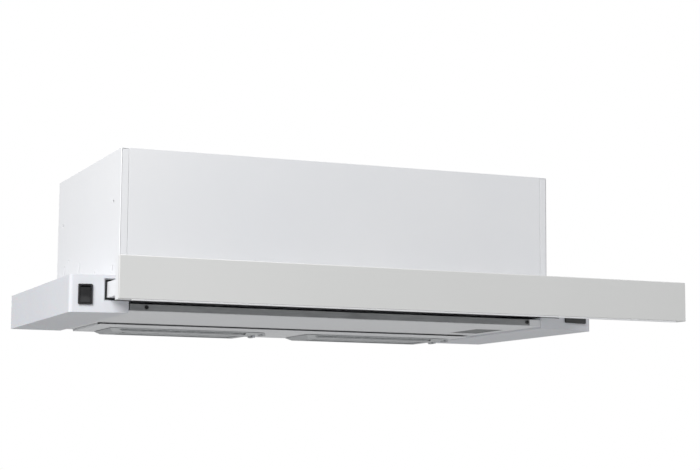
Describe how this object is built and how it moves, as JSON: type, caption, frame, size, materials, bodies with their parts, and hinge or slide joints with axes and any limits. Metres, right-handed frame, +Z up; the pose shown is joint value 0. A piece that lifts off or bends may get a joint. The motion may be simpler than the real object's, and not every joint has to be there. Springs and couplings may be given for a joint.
{
  "type": "telescopic cooker hood",
  "caption": "White telescopic cooker hood for a kitchen cupboard: steel casing with a centrifugal fan, low base with two grease filters, and a glass-fronted slide-out drawer.",
  "frame": {"origin": "on the back face that stands against the wall, halfway across, level with the underside of the cupboard that the wings meet", "axes": "+X to the right seen from the front, +Y towards the wall, +Z up; the drawer pulls out along -Y"},
  "size_m": [0.598, 0.477, 0.1964],
  "materials": {
    "white_moulding": "semi-gloss moulded white",
    "white_paint": "white powder coat, semi-gloss",
    "rail_grey": "grey enamel",
    "white_glass": "glass painted white on its back, polished",
    "zinc": "zinc plated",
    "shaft_steel": "ground steel",
    "lamination": "laminated core, bare",
    "filter_alu": "rolled, satin",
    "mesh_alu": "expanded mesh",
    "can_alu": "drawn, satin",
    "latch_grey": "moulded grey",
    "black_moulding": "moulded black",
    "fan_moulding": "moulded dark grey",
    "pale_moulding": "moulded off-white",
    "nylon": "natural nylon",
    "circuit_board": "white solder mask",
    "frosted_lens": "frosted acrylic",
    "black_screw": "blackened steel",
    "bush_bronze": "sintered bronze",
    "mount_rubber": "moulded rubber"
  },
  "bodies": {
    "hood": {"left_wing": "white_moulding", "right_wing": "white_moulding", "front_rail": "rail_grey", "front_strip": "white_paint", "bottom_panel": "white_paint", "filter_frame": "white_paint", "casing_left": "white_paint", "casing_right": "white_paint", "casing_front": "white_paint", "casing_back": "white_paint", "casing_top": "white_paint", "outlet_collar": "black_moulding", "flap_pin": "zinc", "scroll_left": "fan_moulding", "scroll_right": "fan_moulding", "motor_can": "zinc", "motor_stator": "lamination", "motor_bushes": "bush_bronze", "motor_spider": "zinc", "rubber_mounts": "mount_rubber", "capacitor": "can_alu", "terminal_box": "pale_moulding", "terminal_cover": "pale_moulding", "cable_gland": "black_moulding", "lamp_housing": "white_paint", "lamp_board": "circuit_board", "lamp_lens": "frosted_lens", "light_switch_body": "black_moulding", "speed_switch_body": "black_moulding", "slide_rail_left": "zinc", "slide_rail_right": "zinc", "front_glides": "black_moulding", "casing_screws": "zinc", "rail_screws": "black_screw", "collar_screws": "zinc", "scroll_screws": "zinc", "filter_hinges": "zinc"},
    "rotor": {"impeller": "fan_moulding", "motor_shaft": "shaft_steel", "motor_rotor": "lamination", "impeller_nut": "shaft_steel"},
    "flap_front": {"flap_front": "black_moulding"},
    "flap_back": {"flap_back": "black_moulding"},
    "drawer": {"glass_panel": "white_glass", "panel_frame": "white_paint", "drawer_left": "white_paint", "drawer_right": "white_paint", "drawer_rear_bar": "zinc", "drawer_tray": "zinc", "drawer_filter": "filter_alu", "slide_shoes": "nylon", "drawer_screws": "zinc"},
    "left_filter": {"left_filter_tray": "filter_alu", "left_filter_mesh": "mesh_alu"},
    "left_latch": {"left_filter_latch": "latch_grey"},
    "right_filter": {"right_filter_tray": "filter_alu", "right_filter_mesh": "mesh_alu"},
    "right_latch": {"right_filter_latch": "latch_grey"},
    "light_rocker": {"light_rocker": "black_moulding"},
    "speed_slider": {"speed_slider": "black_moulding"}
  },
  "joints": [
    {"name": "drawer_slide", "type": "slide", "parent": "hood", "child": "drawer", "axis": [0, -1, 0], "range_m": [-0.163, 0]},
    {"name": "rotor_spin", "type": "hinge", "parent": "hood", "child": "rotor", "pos_m": [0, -0.122, 0.07], "axis": [1, 0, 0], "continuous": true},
    {"name": "flap_front_swing", "type": "hinge", "parent": "hood", "child": "flap_front", "pos_m": [0, -0.08, 0.139], "axis": [-1, 0, 0], "range_deg": [0, 70]},
    {"name": "flap_back_swing", "type": "hinge", "parent": "hood", "child": "flap_back", "pos_m": [0, -0.08, 0.139], "axis": [1, 0, 0], "range_deg": [0, 70]},
    {"name": "left_filter_tilt", "type": "hinge", "parent": "hood", "child": "left_filter", "pos_m": [-0.018, -0.05, -0.0401], "axis": [0, -1, 0], "range_deg": [0, 75]},
    {"name": "right_filter_tilt", "type": "hinge", "parent": "hood", "child": "right_filter", "pos_m": [0.218, -0.05, -0.0401], "axis": [0, -1, 0], "range_deg": [0, 75]},
    {"name": "left_latch_slide", "type": "slide", "parent": "left_filter", "child": "left_latch", "axis": [1, 0, 0], "range_m": [0, 0.004], "stiffness_N_per_m": 300},
    {"name": "right_latch_slide", "type": "slide", "parent": "right_filter", "child": "right_latch", "axis": [1, 0, 0], "range_m": [0, 0.004], "stiffness_N_per_m": 300},
    {"name": "light_rocker_tilt", "type": "hinge", "parent": "hood", "child": "light_rocker", "pos_m": [-0.28237, -0.28462, -0.0198], "axis": [-0.9676, 0.2524, 0], "range_deg": [0, 14]},
    {"name": "speed_slide", "type": "slide", "parent": "hood", "child": "speed_slider", "axis": [0.9781, 0.2081, 0], "range_m": [0, 0.014]}
  ]
}
